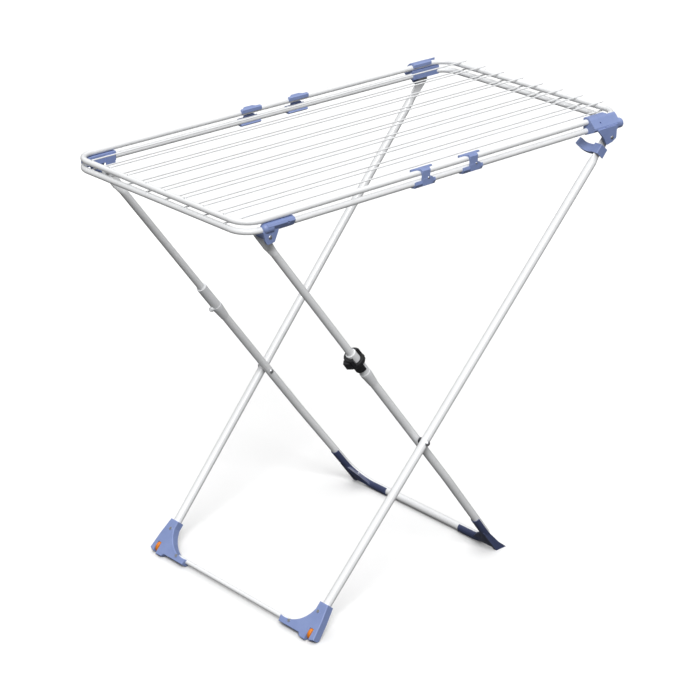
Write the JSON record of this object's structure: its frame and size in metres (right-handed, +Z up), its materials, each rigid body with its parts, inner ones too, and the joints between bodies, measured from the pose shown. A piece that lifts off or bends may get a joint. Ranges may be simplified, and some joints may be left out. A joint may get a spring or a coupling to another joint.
{
  "type": "clothes drying rack",
  "caption": "Free-standing clothes airer with two stacked wire frames that slide apart lengthwise, crossed folding tube legs with a telescopic inner leg, and floor wheels.",
  "frame": {"origin": "on the floor under the middle of the airer's bounding box", "axes": "+X along the wires towards the end whose wire tips overhang, +Y across the table to the back, +Z up"},
  "size_m": [1.1215, 0.6362, 1.0295],
  "materials": {
    "white_tube": "glossy white powder coat",
    "white_wire": "glossy white powder coat on wire",
    "blue_plastic": "satin moulded plastic",
    "dark_blue_plastic": "satin moulded plastic",
    "orange_wheel": "moulded plastic",
    "black_plastic": "fine-grained moulded plastic",
    "white_plastic": "moulded plastic",
    "dark_plastic": "moulded plastic",
    "steel_fastener": "zinc-plated steel"
  },
  "bodies": {
    "table": {"lower_frame_tube": "white_tube", "lower_wire_1": "white_wire", "lower_wire_2": "white_wire", "lower_wire_3": "white_wire", "lower_wire_4": "white_wire", "lower_wire_5": "white_wire", "lower_wire_6": "white_wire", "lower_wire_7": "white_wire", "lower_wire_8": "white_wire", "bracket_front_left": "blue_plastic", "bracket_back_left": "blue_plastic", "bracket_front_right": "blue_plastic", "bracket_back_right": "blue_plastic", "guide_clip_front_left": "blue_plastic", "guide_clip_back_left": "blue_plastic", "guide_clip_front_right": "blue_plastic", "guide_clip_back_right": "blue_plastic", "clip_screws": "steel_fastener", "left_pivot_rivets": "steel_fastener", "right_pivot_rivets": "steel_fastener"},
    "upper_frame": {"upper_frame_tube": "white_tube", "upper_wire_1": "white_wire", "upper_wire_2": "white_wire", "upper_wire_3": "white_wire", "upper_wire_4": "white_wire", "upper_wire_5": "white_wire", "upper_wire_6": "white_wire", "upper_wire_7": "white_wire", "upper_wire_8": "white_wire"},
    "leg_a": {"leg_a_tube_front": "white_tube", "leg_a_tube_back": "white_tube", "leg_a_crossbar": "white_tube", "foot_front": "blue_plastic", "foot_back": "blue_plastic", "wheel_axles": "steel_fastener", "scissor_rivets": "steel_fastener", "scissor_spacers": "dark_plastic", "hook_bracket": "blue_plastic", "foot_screws": "steel_fastener"},
    "front_wheel": {"wheel_front": "orange_wheel"},
    "back_wheel": {"wheel_back": "orange_wheel"},
    "leg_b_upper": {"leg_b_upper_tube_front": "white_tube", "leg_b_upper_tube_back": "white_tube", "telescope_guides": "dark_plastic"},
    "leg_b_lower": {"leg_b_lower_tube": "white_tube", "scissor_rivet_tails": "steel_fastener", "collar_front": "white_plastic", "collar_back": "white_plastic", "shoe_front": "dark_blue_plastic", "shoe_back": "dark_blue_plastic", "shoe_screws": "steel_fastener"},
    "cam_lock": {"cam_lock": "black_plastic"},
    "release_button": {"release_button": "white_plastic"}
  },
  "joints": [
    {"name": "upper_frame_slide", "type": "slide", "parent": "table", "child": "upper_frame", "axis": [1, 0, 0], "range_m": [0, 0.4]},
    {"name": "leg_a_fold", "type": "hinge", "parent": "table", "child": "leg_a", "pos_m": [0.49165, 0, 0.9792], "axis": [0, 1, 0], "range_deg": [0, 45]},
    {"name": "leg_b_fold", "type": "hinge", "parent": "table", "child": "leg_b_upper", "pos_m": [-0.49475, 0, 0.981], "axis": [0, -1, 0], "range_deg": [0, 51]},
    {"name": "leg_b_telescope", "type": "slide", "parent": "leg_b_upper", "child": "leg_b_lower", "axis": [-0.5962, 0, 0.8028], "range_m": [0, 0.25]},
    {"name": "front_wheel_spin", "type": "hinge", "parent": "leg_a", "child": "front_wheel", "pos_m": [-0.37285, -0.272, 0.014], "axis": [0, 1, 0], "continuous": true},
    {"name": "back_wheel_spin", "type": "hinge", "parent": "leg_a", "child": "back_wheel", "pos_m": [-0.37285, 0.272, 0.014], "axis": [0, 1, 0], "continuous": true},
    {"name": "cam_lock_turn", "type": "hinge", "parent": "leg_b_lower", "child": "cam_lock", "pos_m": [-0.2336, -0.254, 0.62937], "axis": [0.5962, 0, -0.8028], "range_deg": [0, 60]},
    {"name": "release_button_press", "type": "slide", "parent": "leg_b_lower", "child": "release_button", "axis": [0.8028, 0, 0.5962], "range_m": [0, 0.0015], "stiffness_N_per_m": 1500, "springref_m": -0.0005}
  ],
  "couplings": [
    {"joint": "leg_b_fold", "follows": "leg_a_fold", "ratio": 1.1333},
    {"joint": "leg_b_telescope", "follows": "leg_a_fold", "m_per_rad": 0.31831}
  ]
}
